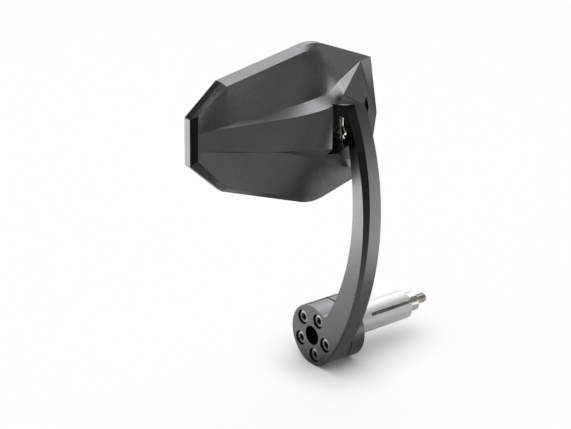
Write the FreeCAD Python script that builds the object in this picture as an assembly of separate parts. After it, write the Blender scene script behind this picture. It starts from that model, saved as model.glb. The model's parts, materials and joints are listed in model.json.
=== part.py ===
import FreeCAD, Part
import math
import os

# Motorcycle bar end mirror, in millimetres.
# The origin is where the clamp axis meets the end of the handlebar.
# +Y runs into the handlebar, +Z is up, and the back of the mirror housing faces +X.

Vector = FreeCAD.Vector
ORIGIN = Vector(0, 0, 0)
ALONG_X = Vector(1, 0, 0)
ALONG_Y = Vector(0, 1, 0)
ALONG_Z = Vector(0, 0, 1)

# Clearances
fixed_clearance = 0.05
running_clearance = 0.06
loose_clearance = 0.35

# Hub and drum
hub_radius = 16.0
hub_thickness = 12.4
drum_length = 8.3
register_height = 0.8
register_radius = 14.4
edge_break = 0.5

# Ring of screws through the hub
screw_count = 5
screw_circle = 21.0
first_screw_angle = 64.0
screw_radius = 2.0
screw_length = 12.0
screw_head_radius = 3.45
screw_head_height = 4.0
screw_key_width = 3.0
screw_key_depth = 2.2
screw_recess = 0.7
tapped_hole_spare = 0.8
key_hole_radius = 5.05

# Plug that expands inside the handlebar
sleeve_radius = 7.5
sleeve_length = 39.6
sleeve_end_break = 0.8
spigot_radius = 6.95
spigot_length = 7.0
shoulder_depth = 0.6
shoulder_break = 0.2
recess_radius = 9.0
bolt_seat_y = 2.0
sleeve_web = 7.0
mouth_taper_length = 10.0
mouth_narrow_radius = 4.2
slot_count = 3
slot_width = 1.6
slot_start_y = 12.3
first_slot_angle = 33.0
seam_to_slot_angle = 45.0
cone_outer_radius = 5.0
cone_stick_out = 7.2
cone_end_break = 1.0
cone_slit_width = 0.8
cone_gap = 0.25

# Expander bolt
bolt_radius = 2.5
bolt_tip_y = 53.5
bolt_tip_break = 0.6
bolt_head_radius = 4.25
bolt_head_height = 5.0
bolt_key_width = 4.0
bolt_key_depth = 2.6
washer_thickness = 1.0
washer_radius = 4.4

# Curved arm
arm_thickness = 9.0
outer_radius_low = 138.4
outer_centre_drop = 28.7
outer_change_drop = 21.4
outer_radius_high = 110.0
inner_middle_x = 30.0
inner_middle_drop = 25.4
inner_radius_low = 110.8
inner_radius_high = 139.0
notch_radius = 3.2
arm_tip_margin = 2.5
bevel_at_foot = 0.9
bevel_growth = 0.0168
bevel_low_angle = -60.0
bevel_high_angle = 45.0

# Stud boss under the tip of the arm
stud_x = 14.8
stud_y = -17.0
boss_radius = 3.6
boss_rise = 18.1
boss_height = 5.5
bridge_width = 6.0
lock_screw_radius = 1.5
lock_screw_length = 1.8
lock_screw_rise = 2.8
lock_key_width = 1.5
lock_key_depth = 0.9

# Ball stud and its seats
ball_z = 101.4
ball_radius = 3.5
neck_radius = 1.5
stud_thread_radius = 2.0
stud_thread_length = 4.8
stem_radius = 1.7
bead_radius = 1.95
bead_height = 1.9
flange_radius = 3.3
flange_rise = 8.5
flange_height = 0.9
flare_height = 3.2
collar_radius = 2.5
collar_rise = 6.2
collar_height = 0.9
groove_radius = 1.9
seat_wall = 1.15
seat_near = 0.6
seat_far = 2.6
socket_split = 0.3
socket_wall = 1.14
retainer_opening = 2.8
retainer_height = 4.5
cup_depth = 5.1
spanner_slot_width = 1.0
spanner_slot_depth = 0.8
spring_thickness = 0.5
spring_rise = 0.5
spring_hole_radius = 2.6
socket_boss_radius = 7.4
socket_floor = 1.5

# Mirror housing: sizes across Y and Z, and depths along X
housing_width = 108.1
housing_height = 77.7
spine_depth = 31.0
rim_back_x = 2.0
rim_front_x = 6.2
bevel_top_x = 9.0
wall_thickness = 2.4
crest_share = 0.61
sill_share = 0.21
start_share = 0.27
side_reach = 24.0
solid_back_x = 12.0
solid_left_y = -36.0

# Mirror glass and its pad
rim_lip = 1.6
glass_clearance = 0.25
glass_set_back = 0.5
glass_thickness = 2.0
pad_thickness = 1.0

# Pocket in the housing for the ball joint
pocket_back = 7.3
pocket_right = 9.0
pocket_start = 7.5
pocket_turn_out = 0.2
pocket_turn = 14.0
pocket_end_out = 13.8
pocket_end = 16.8
pocket_flare = 1.0
ramp_margin = 0.7

# Shape of the housing as drawn, from the ball's centre as (y, z),
# and on the spine as (depth, y, z) with the depth from the housing's back edge
drawn_rim = {
    "left_low": (-78.7, 6.6), "left_high": (-78.3, 28.4), "shoulder_high": (-61.3, 42.4),
    "crown_left": (-17.0, 51.0), "crown_top": (-10.0, 51.7), "crown_right": (-3.1, 50.0),
    "brow_right": (11.5, 44.4), "corner_high": (24.8, 39.2), "corner_right": (29.4, 10.8),
    "corner_low": (24.8, -17.4), "keel_right": (-2.6, -25.0), "keel_bottom": (-10.0, -26.0),
    "keel_left": (-17.7, -24.5), "shoulder_low": (-61.9, -9.0)}
drawn_brink = {
    "left_low": (-76.2, 9.5), "left_high": (-75.7, 30.2), "shoulder_high": (-60.3, 41.0),
    "crown_left": (-19.6, 49.0), "crown_top": (-13.2, 49.4), "crown_right": (-6.8, 48.4),
    "brow_right": (5.5, 43.7), "corner_high": (16.4, 39.5), "corner_right": (26.6, 10.8),
    "corner_low": (21.6, -13.8), "keel_right": (-4.0, -21.3), "keel_bottom": (-11.6, -22.2),
    "keel_left": (-19.2, -20.8), "shoulder_low": (-61.2, -6.8)}
drawn_spine = {
    "flank_bend": (17.8, -21.7, 30.0), "flank_turn": (21.1, -15.0, 33.0),
    "flank_rise": (18.0, -4.9, 36.7), "crest_bend": (26.0, -21.7, 27.3),
    "crest_turn": (28.0, -15.8, 29.7), "crest_rise": (28.0, -10.7, 33.9),
    "shelf_left": (31.0, -12.5, 29.1), "shelf_right": (30.0, -0.2, 27.9),
    "sill_bend": (21.7, -34.1, 9.5), "sill_turn": (27.5, -17.4, 8.5),
    "sill_end": (22.5, -1.4, -1.5), "sill_corner": (20.5, 4.5, -3.9),
    "foot_bend": (18.0, -31.0, 6.1), "foot_turn": (19.0, -19.3, 1.1),
    "foot_end": (22.0, -0.6, -5.5)}

# Stops of each smooth line of the spine, between the point it leaves and the point it heads for
spine_lines = {
    "flank": ("crest_tip", ("start", "bend", "turn", "rise"), "brink_corner_high"),
    "crest": ("crest_tip", ("start", "bend", "turn", "rise"), "brink_corner_high"),
    "sill": ("sill_tip", ("start", "bend", "turn", "end"), "sill_corner"),
    "foot": ("sill_tip", ("start", "bend", "turn", "end"), "brink_corner_low")}

# Lengths that only have to reach past what they cut
reach = 80.0

# Places that follow from the sizes above
hub_back_y = -(drum_length + register_height)
face_y = hub_back_y - hub_thickness
arm_back_y = face_y + arm_thickness
counterbore_radius = screw_head_radius + loose_clearance
counterbore_y = face_y + screw_recess + screw_head_height
screw_tip_y = counterbore_y + screw_length
bolt_head_y = bolt_seat_y - washer_thickness - bolt_head_height
mouth_wide_radius = cone_outer_radius + cone_gap
mouth_start_y = sleeve_length - mouth_taper_length
cone_end_y = sleeve_length + cone_stick_out
seat_inner_radius = ball_radius + fixed_clearance
seat_outer_radius = seat_inner_radius + seat_wall
socket_radius = seat_outer_radius + running_clearance
socket_part_radius = socket_radius + socket_wall
socket_bore_radius = socket_part_radius + fixed_clearance
boss_bottom_z = ball_z + boss_rise
boss_top_z = boss_bottom_z + boss_height
lock_screw_z = boss_bottom_z + lock_screw_rise
arm_tip_z = boss_top_z + arm_tip_margin
outer_centre_z = ball_z - outer_centre_drop
outer_change_z = ball_z - outer_change_drop
inner_middle_z = ball_z - inner_middle_drop
flange_bottom_z = ball_z + flange_rise
flange_top_z = flange_bottom_z + flange_height
collar_bottom_z = ball_z + collar_rise
collar_top_z = collar_bottom_z + collar_height
retainer_bottom_z = ball_z + socket_split
retainer_top_z = retainer_bottom_z + retainer_height
cup_top_z = ball_z - socket_split
cup_bottom_z = cup_top_z - cup_depth
spring_bottom_z = cup_bottom_z - spring_thickness - spring_rise
glass_front_x = rim_back_x + glass_set_back
pad_front_x = glass_front_x + glass_thickness
pad_back_x = pad_front_x + pad_thickness


def polygon_face(points):
    """A flat face inside the closed line through the points."""
    return Part.Face(Part.makePolygon(points + [points[0]]))


def turned_on_y(outline):
    """A solid turned about the Y axis from (radius, y) pairs."""
    return polygon_face([Vector(r, y, 0) for r, y in outline]).revolve(ORIGIN, ALONG_Y, 360)


def turned_on_stud(outline):
    """A solid turned about the stud's upright axis from (radius, z) pairs."""
    points = [Vector(stud_x + r, stud_y, z) for r, z in outline]
    return polygon_face(points).revolve(Vector(stud_x, stud_y, 0), ALONG_Z, 360)


def rod(radius, start, end):
    """A round bar between two points."""
    along = end - start
    return Part.makeCylinder(radius, along.Length, start, along)


def box_between(low, high):
    """A block from its lowest to its highest corner."""
    size = high - low
    return Part.makeBox(size.x, size.y, size.z, low)


def hexagon_key(width, depth, start, along, across):
    """A six-sided socket of a given width across its flats, cut along a direction."""
    corner = width / math.sqrt(3)
    side = along.cross(across)
    points = []
    for step in range(6):
        angle = math.radians(60 * step)
        points.append(start + across * (corner * math.cos(angle)) + side * (corner * math.sin(angle)))
    return polygon_face(points).extrude(along * depth)


def around_hub(angle, radius, y):
    """A point around the clamp axis, at an angle from +X towards +Z."""
    return Vector(radius * math.cos(math.radians(angle)), y, radius * math.sin(math.radians(angle)))


def screw_places():
    """Angles of the screws around the clamp axis."""
    return [first_screw_angle + 360.0 / screw_count * step for step in range(screw_count)]


def circle_crossing(centre_a, radius_a, centre_b, radius_b):
    """The right-hand one of the two points of the XZ plane that lie on both circles."""
    gap = centre_b - centre_a
    along = (radius_a ** 2 - radius_b ** 2 + gap.Length ** 2) / (2 * gap.Length)
    half = math.sqrt(radius_a ** 2 - along ** 2)
    foot = centre_a + gap * (along / gap.Length)
    side = Vector(-gap.z, 0, gap.x) * (half / gap.Length)
    return max(foot + side, foot - side, key=lambda point: point.x)


def on_circle(centre, radius, towards):
    """The point of a circle in the XZ plane that lies towards another point."""
    ray = towards - centre
    return centre + ray * (radius / ray.Length)


def arc_between(centre, radius, start, end):
    """The arc of a circle between two of its points, on their side of the centre."""
    middle = on_circle(centre, radius, (start + end) * 0.5)
    return Part.Arc(start, middle, end).toShape()


def line_between(start, end):
    """A straight edge."""
    return Part.makeLine(start, end)


def outer_centre_low():
    """Centre of the lower outer arc, which touches the hub from outside."""
    reach_x = math.sqrt((outer_radius_low - hub_radius) ** 2 - outer_centre_z ** 2)
    return Vector(-reach_x, 0, outer_centre_z)


def arm_outline():
    """Closed outline of the arm's plate in the XZ plane, without the round hub."""
    low_centre = outer_centre_low()
    foot = on_circle(low_centre, outer_radius_low, ORIGIN)
    change_x = math.sqrt(outer_radius_low ** 2 - (outer_change_z - outer_centre_z) ** 2)
    change = low_centre + Vector(change_x, 0, outer_change_z - outer_centre_z)
    high_centre = on_circle(change, outer_radius_high, low_centre)
    tip_rise = arm_tip_z - high_centre.z
    outer_tip = high_centre + Vector(math.sqrt(outer_radius_high ** 2 - tip_rise ** 2), 0, tip_rise)
    inner_low_centre = Vector(inner_middle_x - inner_radius_low, 0, inner_middle_z)
    inner_high_centre = Vector(inner_middle_x - inner_radius_high, 0, inner_middle_z)
    inner_middle = Vector(inner_middle_x, 0, inner_middle_z)
    inner_rise = arm_tip_z - inner_middle_z
    inner_tip = inner_high_centre + Vector(math.sqrt(inner_radius_high ** 2 - inner_rise ** 2), 0, inner_rise)
    notch_centre = circle_crossing(ORIGIN, hub_radius + notch_radius,
                                   inner_low_centre, inner_radius_low - notch_radius)
    notch_hub = on_circle(ORIGIN, hub_radius, notch_centre)
    notch_arm = on_circle(inner_low_centre, inner_radius_low, notch_centre)
    notch_low = notch_centre - ALONG_Z * notch_radius
    return [
        arc_between(low_centre, outer_radius_low, foot, change),
        arc_between(high_centre, outer_radius_high, change, outer_tip),
        line_between(outer_tip, inner_tip),
        arc_between(inner_high_centre, inner_radius_high, inner_tip, inner_middle),
        arc_between(inner_low_centre, inner_radius_low, inner_middle, notch_arm),
        Part.Arc(notch_arm, notch_low, notch_hub).toShape(),
        line_between(notch_hub, ORIGIN),
        line_between(ORIGIN, foot),
    ]


def bevel_limit():
    """Solid whose sloping outer side leaves the bevel that widens up the arm's front edge."""
    low_centre = outer_centre_low()
    front_centre = low_centre - ALONG_Z * (bevel_growth * outer_radius_low)
    front_radius = outer_radius_low - bevel_at_foot - bevel_growth * outer_centre_z
    change_rise = outer_change_z - front_centre.z
    change_x = math.sqrt(front_radius ** 2 - change_rise ** 2)
    change_way = Vector(change_x, 0, change_rise) * (1 / front_radius)
    radius_step = outer_radius_low - outer_radius_high
    high_centre = front_centre + change_way * radius_step
    turn_low = math.radians(bevel_low_angle)
    turn_high = math.radians(bevel_high_angle)
    layers = []
    for y, grow in ((face_y, 0.0), (arm_back_y, arm_thickness)):
        low_radius = front_radius + grow
        high_radius = low_radius - radius_step
        start = front_centre + Vector(math.cos(turn_low), 0, math.sin(turn_low)) * low_radius
        change = front_centre + change_way * low_radius
        end = high_centre + Vector(math.cos(turn_high), 0, math.sin(turn_high)) * high_radius
        back_low = Vector(-reach, 0, start.z)
        back_high = Vector(-reach, 0, end.z)
        edges = [
            arc_between(front_centre, low_radius, start, change),
            arc_between(high_centre, high_radius, change, end),
            line_between(end, back_high),
            line_between(back_high, back_low),
            line_between(back_low, start),
        ]
        layer = Part.Wire(edges)
        layer.translate(ALONG_Y * y)
        layers.append(layer)
    return Part.makeLoft(layers, True, True)


def make_arm():
    """Hub plate and curved arm in one piece, with the stud boss under its tip."""
    plate = Part.Face(Part.Wire(arm_outline())).extrude(ALONG_Y * arm_thickness)
    plate.translate(ALONG_Y * face_y)
    plate = plate.common(bevel_limit())
    hub = rod(hub_radius, ALONG_Y * face_y, ALONG_Y * hub_back_y)
    boss = rod(boss_radius, Vector(stud_x, stud_y, boss_bottom_z), Vector(stud_x, stud_y, boss_top_z))
    tip_x = inner_middle_x - inner_radius_high + math.sqrt(
        inner_radius_high ** 2 - (arm_tip_z - inner_middle_z) ** 2)
    bridge = box_between(Vector(stud_x, stud_y - bridge_width / 2, boss_bottom_z),
                         Vector(tip_x + bridge_width / 2, stud_y + bridge_width / 2, boss_top_z))
    arm = plate.fuse([hub, boss, bridge])
    cuts = [
        rod(key_hole_radius, ALONG_Y * face_y, ALONG_Y * hub_back_y),
        rod(stud_thread_radius + fixed_clearance, Vector(stud_x, stud_y, boss_bottom_z),
            Vector(stud_x, stud_y, boss_top_z)),
        rod(lock_screw_radius + fixed_clearance, Vector(stud_x - boss_radius, stud_y, lock_screw_z),
            Vector(stud_x, stud_y, lock_screw_z)),
    ]
    for angle in screw_places():
        cuts.append(rod(counterbore_radius, around_hub(angle, screw_circle / 2, face_y),
                        around_hub(angle, screw_circle / 2, counterbore_y)))
        cuts.append(rod(screw_radius + loose_clearance, around_hub(angle, screw_circle / 2, face_y),
                        around_hub(angle, screw_circle / 2, hub_back_y)))
    return arm.cut(cuts).removeSplitter()


def make_drum():
    """Round clamp drum between the arm's hub and the handlebar."""
    drum = turned_on_y([
        (key_hole_radius, hub_back_y), (register_radius, hub_back_y),
        (register_radius, -drum_length), (hub_radius - edge_break / 2, -drum_length),
        (hub_radius, -drum_length + edge_break / 2), (hub_radius, -edge_break),
        (hub_radius - edge_break, 0), (recess_radius, 0), (recess_radius, -shoulder_depth),
        (spigot_radius + fixed_clearance, -shoulder_depth),
        (spigot_radius + fixed_clearance, -spigot_length), (key_hole_radius, -spigot_length)])
    holes = []
    for angle in screw_places():
        holes.append(rod(screw_radius + fixed_clearance, around_hub(angle, screw_circle / 2, hub_back_y),
                         around_hub(angle, screw_circle / 2, screw_tip_y + tapped_hole_spare)))
    return drum.cut(holes)


def make_arm_screw(angle):
    """Socket head screw that holds the arm to the drum."""
    top = around_hub(angle, screw_circle / 2, counterbore_y - screw_head_height)
    seat = around_hub(angle, screw_circle / 2, counterbore_y)
    tip = around_hub(angle, screw_circle / 2, screw_tip_y)
    head = rod(screw_head_radius, top, seat)
    shank = rod(screw_radius, seat, tip)
    key = hexagon_key(screw_key_width, screw_key_depth, top, ALONG_Y, ALONG_Z)
    return head.fuse(shank).cut(key)


def make_sleeve():
    """Slotted expanding sleeve with its spigot in the drum."""
    sleeve = turned_on_y([
        (bolt_head_radius + loose_clearance, -spigot_length), (spigot_radius, -spigot_length),
        (spigot_radius, -shoulder_depth), (sleeve_radius - shoulder_break, -shoulder_depth),
        (sleeve_radius, shoulder_break - shoulder_depth),
        (sleeve_radius, sleeve_length - sleeve_end_break),
        (sleeve_radius - sleeve_end_break, sleeve_length), (mouth_wide_radius, sleeve_length),
        (mouth_narrow_radius, mouth_start_y), (mouth_narrow_radius, bolt_seat_y + sleeve_web),
        (bolt_radius + cone_gap, bolt_seat_y + sleeve_web), (bolt_radius + cone_gap, bolt_seat_y),
        (bolt_head_radius + loose_clearance, bolt_seat_y)])
    slots = []
    for step in range(slot_count):
        slot = box_between(Vector(0, slot_start_y, -slot_width / 2),
                           Vector(sleeve_radius + slot_width, sleeve_length + slot_width, slot_width / 2))
        slot.rotate(ORIGIN, ALONG_Y, -(seam_to_slot_angle + 360.0 / slot_count * step))
        slots.append(slot)
    sleeve = sleeve.cut(slots)
    sleeve.rotate(ORIGIN, ALONG_Y, seam_to_slot_angle - first_slot_angle)
    return sleeve


def make_cone():
    """Slit cone that the bolt draws into the mouth of the sleeve."""
    cone = turned_on_y([
        (bolt_radius + running_clearance, mouth_start_y),
        (mouth_narrow_radius - cone_gap, mouth_start_y), (cone_outer_radius, sleeve_length),
        (cone_outer_radius, cone_end_y - cone_end_break),
        (cone_outer_radius - cone_end_break, cone_end_y),
        (bolt_radius + running_clearance, cone_end_y)])
    slit = box_between(Vector(0, mouth_start_y - cone_slit_width, -cone_slit_width / 2),
                       Vector(cone_outer_radius + cone_slit_width, cone_end_y + cone_slit_width,
                              cone_slit_width / 2))
    slit.rotate(ORIGIN, ALONG_Y, -first_slot_angle)
    return cone.cut(slit)


def make_expander_bolt():
    """Long socket head bolt through the sleeve and the cone."""
    head_end = bolt_head_y + bolt_head_height
    bolt = turned_on_y([
        (0, bolt_head_y), (bolt_head_radius - edge_break, bolt_head_y),
        (bolt_head_radius, bolt_head_y + edge_break), (bolt_head_radius, head_end),
        (bolt_radius, head_end), (bolt_radius, bolt_tip_y - bolt_tip_break),
        (bolt_radius - bolt_tip_break, bolt_tip_y), (0, bolt_tip_y)])
    key = hexagon_key(bolt_key_width, bolt_key_depth, ALONG_Y * bolt_head_y, ALONG_Y, ALONG_Z)
    return bolt.cut(key)


def make_bolt_washer():
    """Washer under the head of the expander bolt."""
    start = ALONG_Y * (bolt_seat_y - washer_thickness)
    end = ALONG_Y * bolt_seat_y
    return rod(washer_radius, start, end).cut(rod(bolt_radius + fixed_clearance, start, end))


def make_ball_stud():
    """Ball stud that hangs from the arm's boss, with its flange and collar."""
    bead_bottom_z = boss_bottom_z - bead_height
    stem = turned_on_stud([
        (0, ball_z), (neck_radius, ball_z), (neck_radius, collar_bottom_z),
        (collar_radius, collar_bottom_z), (collar_radius, collar_top_z),
        (groove_radius, collar_top_z), (groove_radius, flange_bottom_z),
        (flange_radius, flange_bottom_z), (flange_radius, flange_top_z),
        (stem_radius, flange_top_z + flare_height), (stem_radius, bead_bottom_z),
        (bead_radius, bead_bottom_z + bead_height / 3), (bead_radius, boss_bottom_z - bead_height / 3),
        (stud_thread_radius, boss_bottom_z),
        (stud_thread_radius, boss_bottom_z + stud_thread_length), (0, boss_bottom_z + stud_thread_length)])
    return stem.fuse(Part.makeSphere(ball_radius, Vector(stud_x, stud_y, ball_z))).removeSplitter()


def make_lock_screw():
    """Grub screw that locks the stud in the arm's boss."""
    inner = Vector(stud_x - stud_thread_radius - fixed_clearance, stud_y, lock_screw_z)
    outer = inner - ALONG_X * lock_screw_length
    key = hexagon_key(lock_key_width, lock_key_depth, outer, ALONG_X, ALONG_Z)
    return rod(lock_screw_radius, outer, inner).cut(key)


def make_seat(way):
    """Ring-shaped half of the ball's seat, above the centre for way 1 and below it for way -1."""
    centre = Vector(stud_x, stud_y, ball_z)
    near = centre + ALONG_Z * (way * seat_near)
    far = centre + ALONG_Z * (way * seat_far)
    shell = Part.makeSphere(seat_outer_radius, centre).cut(Part.makeSphere(seat_inner_radius, centre))
    return shell.common(rod(seat_outer_radius + seat_wall, near, far))


def make_retainer():
    """Threaded ring that closes the ball's socket, with two spanner slots."""
    centre = Vector(stud_x, stud_y, ball_z)
    bottom = Vector(stud_x, stud_y, retainer_bottom_z)
    top = Vector(stud_x, stud_y, retainer_top_z)
    ring = rod(socket_part_radius, bottom, top)
    spanner = box_between(
        Vector(stud_x - spanner_slot_width / 2, stud_y - socket_part_radius, retainer_top_z - spanner_slot_depth),
        Vector(stud_x + spanner_slot_width / 2, stud_y + socket_part_radius, retainer_top_z + spanner_slot_depth))
    return ring.cut([Part.makeSphere(socket_radius, centre), rod(retainer_opening, bottom, top), spanner])


def make_pressure_cup():
    """Cup that presses the lower seat against the ball."""
    cup = rod(socket_part_radius, Vector(stud_x, stud_y, cup_bottom_z), Vector(stud_x, stud_y, cup_top_z))
    return cup.cut(Part.makeSphere(socket_radius, Vector(stud_x, stud_y, ball_z)))


def make_disc_spring():
    """Coned disc spring under the pressure cup."""
    return turned_on_stud([
        (spring_hole_radius, cup_bottom_z - spring_thickness), (socket_part_radius, spring_bottom_z),
        (socket_part_radius, spring_bottom_z + spring_thickness), (spring_hole_radius, cup_bottom_z)])


def housing_points(drop, shrink):
    """Corners of the housing's back as (x, y, z), lowered by drop and drawn in by shrink."""
    rim_ys, rim_zs = zip(*drawn_rim.values())
    across = housing_width / (max(rim_ys) - min(rim_ys))
    upwards = housing_height / (max(rim_zs) - min(rim_zs))
    outwards = spine_depth / max(depth for depth, _, _ in drawn_spine.values())
    middle_y = (max(rim_ys) + min(rim_ys)) / 2
    middle_z = (max(rim_zs) + min(rim_zs)) / 2

    def place(x, y, z):
        return Vector(x - drop, stud_y + (middle_y + (y - middle_y) * shrink) * across,
                      ball_z + (middle_z + (z - middle_z) * shrink) * upwards)

    points = {}
    for name, (y, z) in drawn_rim.items():
        points["back_" + name] = place(rim_back_x, y, z)
        points["rim_" + name] = place(rim_front_x, y, z)
    for name, (y, z) in drawn_brink.items():
        points["brink_" + name] = place(bevel_top_x, y, z)
    for name, (depth, y, z) in drawn_spine.items():
        points[name] = place(rim_back_x + depth * outwards, y, z)
    left_low = points["brink_left_low"]
    left_side = points["brink_left_high"] - left_low
    points["crest_tip"] = left_low + left_side * crest_share
    points["sill_tip"] = left_low + left_side * sill_share
    rim_low = points["rim_left_low"]
    rim_side = points["rim_left_high"] - rim_low
    points["rim_crest_tip"] = rim_low + rim_side * crest_share
    points["rim_sill_tip"] = rim_low + rim_side * sill_share
    for line, (tip, _, _) in spine_lines.items():
        start = points[tip]
        points[line + "_start"] = start + (points[line + "_bend"] - start) * start_share
    return points


def smooth_edges(before, stops, after):
    """Edges between neighbouring stops of one curve, in line with the points before and after it."""
    leaving = (stops[0] - before).normalize()
    arriving = (after - stops[-1]).normalize()
    curve = Part.BSplineCurve()
    curve.interpolate(Points=stops, InitialTangent=leaving, FinalTangent=arriving)
    marks = [curve.parameter(stop) for stop in stops]
    return [curve.toShape(low, high) for low, high in zip(marks, marks[1:])]


def housing_solid(drop, shrink):
    """Closed solid of the housing's outer form, sewn from ruled patches."""
    points = housing_points(drop, shrink)
    around = ["left_low", "left_high", "shoulder_high", "crown_left", "crown_right", "brow_right",
              "corner_high", "corner_right", "corner_low", "keel_right", "keel_left", "shoulder_low"]
    rounded = {("crown_left", "crown_right"): "crown_top", ("keel_right", "keel_left"): "keel_bottom"}
    smooth = {}
    for line, (before, stops, after) in spine_lines.items():
        names = [line + "_" + stop for stop in stops]
        curves = smooth_edges(points[before], [points[name] for name in names], points[after])
        for start, end, curve in zip(names, names[1:], curves):
            smooth[(start, end)] = curve
            smooth[(end, start)] = curve

    def edge(start, end, prefix=""):
        if (start, end) in smooth:
            return smooth[(start, end)]
        through = rounded.get((start, end))
        if through is None or not prefix:
            return Part.makeLine(points[prefix + start], points[prefix + end])
        return Part.Arc(points[prefix + start], points[prefix + through], points[prefix + end]).toShape()

    def ruled(first, second):
        return Part.makeRuledSurface(first, second)

    def triangle(*names):
        return polygon_face([points[name] for name in names])

    faces = []
    back_edges = []
    for start, end in zip(around, around[1:] + around[:1]):
        back = edge(start, end, "back_")
        back_edges.append(back)
        if start == "left_low":
            stops = ["rim_left_low", "rim_sill_tip", "rim_crest_tip", "rim_left_high"]
            brinks = ["brink_left_low", "sill_tip", "crest_tip", "brink_left_high"]
            wall = [points["back_left_low"]] + [points[stop] for stop in stops] + [points["back_left_high"]]
            faces.append(polygon_face(wall))
            for step in range(3):
                faces.append(ruled(edge(stops[step], stops[step + 1]), edge(brinks[step], brinks[step + 1])))
        else:
            front = edge(start, end, "rim_")
            faces.append(ruled(back, front))
            faces.append(ruled(front, edge(start, end, "brink_")))
    faces.append(Part.Face(Part.Wire(back_edges)))

    # The upper side, from the rim's bevel down to the flank
    faces.append(ruled(edge("left_high", "shoulder_high", "brink_"), edge("crest_tip", "flank_start")))
    faces.append(ruled(edge("shoulder_high", "crown_left", "brink_"), edge("flank_start", "flank_bend")))
    faces.append(ruled(edge("crown_left", "crown_right", "brink_"), edge("flank_bend", "flank_turn")))
    faces.append(ruled(edge("crown_right", "brow_right", "brink_"), edge("flank_turn", "flank_rise")))
    faces.append(triangle("brink_brow_right", "brink_corner_high", "flank_rise"))

    # The bright flank of the spine, from its point at the left to its point at the right
    faces.append(triangle("crest_tip", "flank_start", "crest_start"))
    faces.append(ruled(edge("flank_start", "flank_bend"), edge("crest_start", "crest_bend")))
    faces.append(ruled(edge("flank_bend", "flank_turn"), edge("crest_bend", "crest_turn")))
    faces.append(ruled(edge("flank_turn", "flank_rise"), edge("crest_turn", "crest_rise")))
    faces.append(triangle("flank_rise", "brink_corner_high", "crest_rise"))

    # The spine's broad band and the facets at its right end
    faces.append(ruled(edge("crest_tip", "crest_start"), edge("sill_tip", "sill_start")))
    faces.append(ruled(edge("crest_start", "crest_bend"), edge("sill_start", "sill_bend")))
    faces.append(ruled(edge("crest_bend", "crest_turn"), edge("sill_bend", "sill_turn")))
    faces.append(ruled(edge("crest_turn", "crest_rise"), edge("shelf_left", "shelf_right")))
    faces.append(triangle("crest_rise", "brink_corner_high", "shelf_right"))
    faces.append(ruled(edge("crest_turn", "shelf_left"), edge("sill_turn", "sill_end")))
    faces.append(ruled(edge("shelf_left", "shelf_right"), edge("sill_end", "sill_corner")))

    # The narrow underside of the spine
    faces.append(triangle("sill_tip", "sill_start", "foot_start"))
    faces.append(ruled(edge("sill_start", "sill_bend"), edge("foot_start", "foot_bend")))
    faces.append(ruled(edge("sill_bend", "sill_turn"), edge("foot_bend", "foot_turn")))
    faces.append(ruled(edge("sill_turn", "sill_end"), edge("foot_turn", "foot_end")))
    faces.append(triangle("sill_end", "sill_corner", "foot_end"))

    # The lower side, from the spine down to the rim's bevel
    faces.append(ruled(edge("shoulder_low", "left_low", "brink_"), edge("foot_start", "sill_tip")))
    faces.append(ruled(edge("keel_left", "shoulder_low", "brink_"), edge("foot_bend", "foot_start")))
    faces.append(ruled(edge("keel_right", "keel_left", "brink_"), edge("foot_turn", "foot_bend")))
    faces.append(ruled(edge("corner_low", "keel_right", "brink_"), edge("foot_end", "foot_turn")))

    # The facets at the right-hand end
    faces.append(triangle("brink_corner_high", "brink_corner_right", "shelf_right"))
    faces.append(triangle("shelf_right", "brink_corner_right", "sill_corner"))
    faces.append(triangle("sill_corner", "brink_corner_right", "brink_corner_low"))
    faces.append(triangle("sill_corner", "brink_corner_low", "foot_end"))

    shell = Part.makeShell(faces)
    shell.sewShape()
    solid = Part.makeSolid(shell)
    if solid.Volume < 0:
        solid.reverse()
    return solid


def rim_face(x, inset):
    """Flat face inside the housing's rim, drawn in by inset, at a depth x."""
    points = housing_points(0.0, 1.0)
    names = ["left_low", "left_high", "shoulder_high", "crown_left", "crown_top", "crown_right",
             "corner_high", "corner_right", "corner_low", "keel_right", "keel_bottom", "keel_left",
             "shoulder_low"]
    corners = [points["back_" + name] for name in names]
    edges = []
    step = 0
    while step < len(names):
        following = (step + 1) % len(names)
        if names[following] in ("crown_top", "keel_bottom"):
            edges.append(Part.Arc(corners[step], corners[following], corners[following + 1]).toShape())
            step += 2
        else:
            edges.append(Part.makeLine(corners[step], corners[following]))
            step += 1
    face = Part.Face(Part.Wire(edges)).makeOffset2D(-inset)
    face.translate(ALONG_X * (x - rim_back_x))
    return face


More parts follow.
